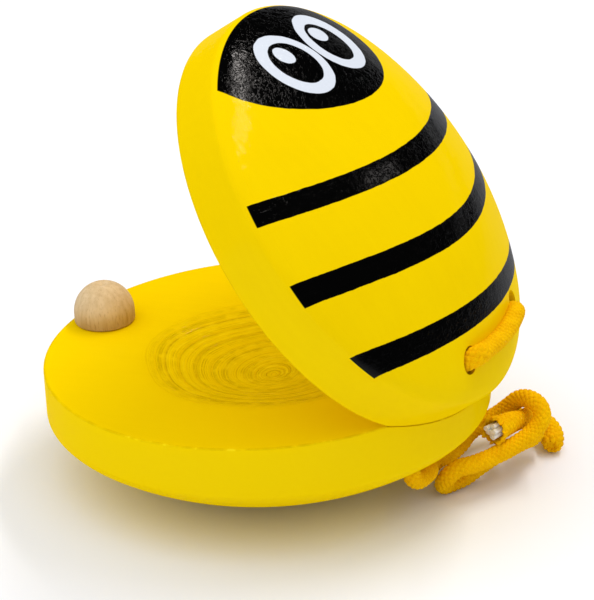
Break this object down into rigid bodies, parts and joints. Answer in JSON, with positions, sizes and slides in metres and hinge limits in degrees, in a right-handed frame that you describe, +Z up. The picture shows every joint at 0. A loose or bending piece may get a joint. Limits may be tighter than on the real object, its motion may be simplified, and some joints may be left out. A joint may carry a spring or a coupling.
{
  "type": "hand castanets",
  "caption": "Round domed wooden castanets: two clappers hinged by one knotted elastic that holds them open, with a knocker on the lower one.",
  "frame": {"origin": "on the surface the pair lies on, below the middle of its outline without the free elastic", "axes": "+Z up, +Y towards the hinge end, +X along the hinge axis"},
  "size_m": [0.058, 0.065, 0.0627],
  "materials": {
    "yellow_paint": "gloss yellow paint on turned wood, with black and white printed areas",
    "natural_wood": "bare light hardwood, sanded",
    "elastic_textile": "braided orange-yellow textile over white rubber threads"
  },
  "bodies": {
    "lower_half": {"lower_clapper": "yellow_paint", "knocker": "natural_wood", "elastic_tail_near": "elastic_textile", "elastic_tail_far": "elastic_textile"},
    "upper_half": {"upper_clapper": "yellow_paint", "elastic_loop": "elastic_textile"}
  },
  "joints": [
    {"name": "clap", "type": "hinge", "parent": "lower_half", "child": "upper_half", "pos_m": [0, 0.01962, 0.01822], "axis": [1, 0, 0], "range_deg": [0, 48.5], "stiffness_Nm_per_rad": 0.02, "springref_deg": -20.05}
  ]
}
